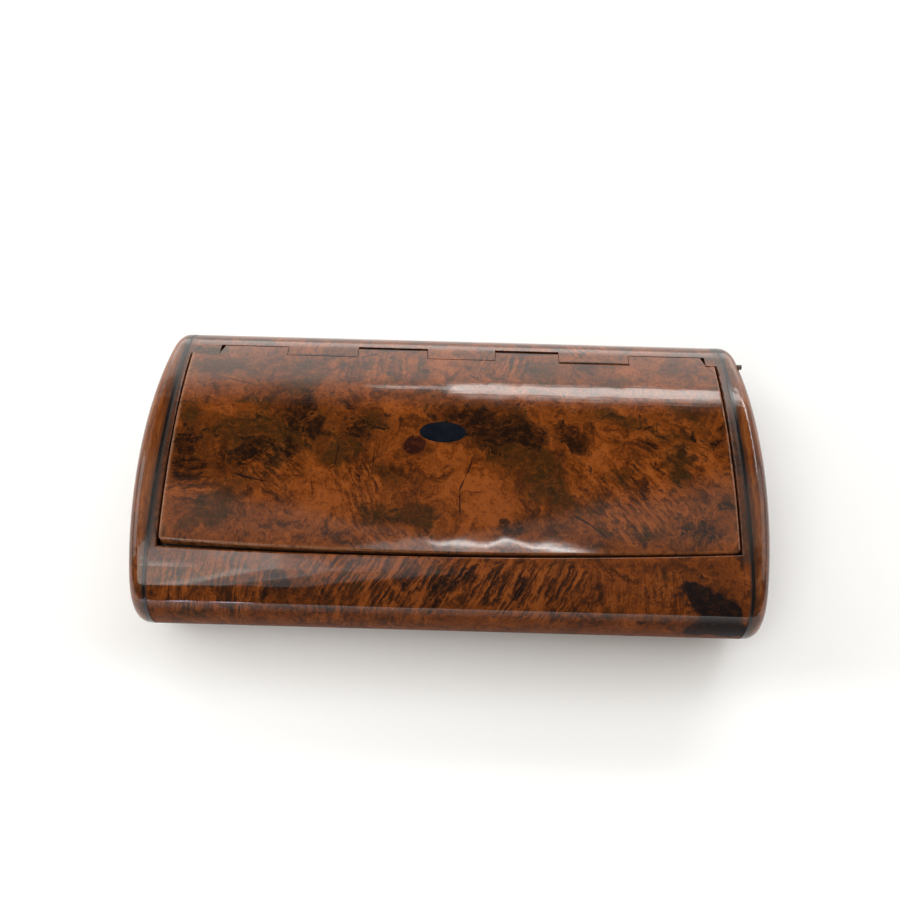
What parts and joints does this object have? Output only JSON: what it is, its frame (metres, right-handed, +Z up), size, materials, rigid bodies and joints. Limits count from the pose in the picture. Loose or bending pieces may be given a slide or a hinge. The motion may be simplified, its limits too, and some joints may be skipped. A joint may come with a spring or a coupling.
{
  "type": "snuff box",
  "caption": "Pocket snuff box of burr wood: flattened oval barrel with domed end caps and a lid sawn from its top, turning on a wooden knuckle hinge.",
  "frame": {"origin": "middle of the flat that the box rests on", "axes": "+X along the box to its right end, the front faces -Y with the hinge at the back, +Z up"},
  "size_m": [0.0934, 0.048, 0.0195],
  "materials": {
    "burr_wood": "polished",
    "burr_wood_lid": "polished",
    "cap_wood": "polished",
    "ebony": "polished",
    "pin_wire": "tarnished",
    "dark_inlay": "polished",
    "foil": "dull"
  },
  "bodies": {
    "box": {"barrel_shell": "burr_wood", "left_end_cap": "cap_wood", "right_end_cap": "cap_wood", "left_stringing": "ebony", "right_stringing": "ebony", "hinge_pin": "pin_wire", "barrel_lining": "foil", "left_end_lining": "foil", "right_end_lining": "foil"},
    "lid": {"lid_panel": "burr_wood_lid", "oval_inlay": "dark_inlay", "lid_lining": "foil"}
  },
  "joints": [
    {"name": "lid_hinge", "type": "hinge", "parent": "box", "child": "lid", "pos_m": [0, 0.01751, 0.01572], "axis": [-1, 0, 0], "range_deg": [0, 95]}
  ]
}
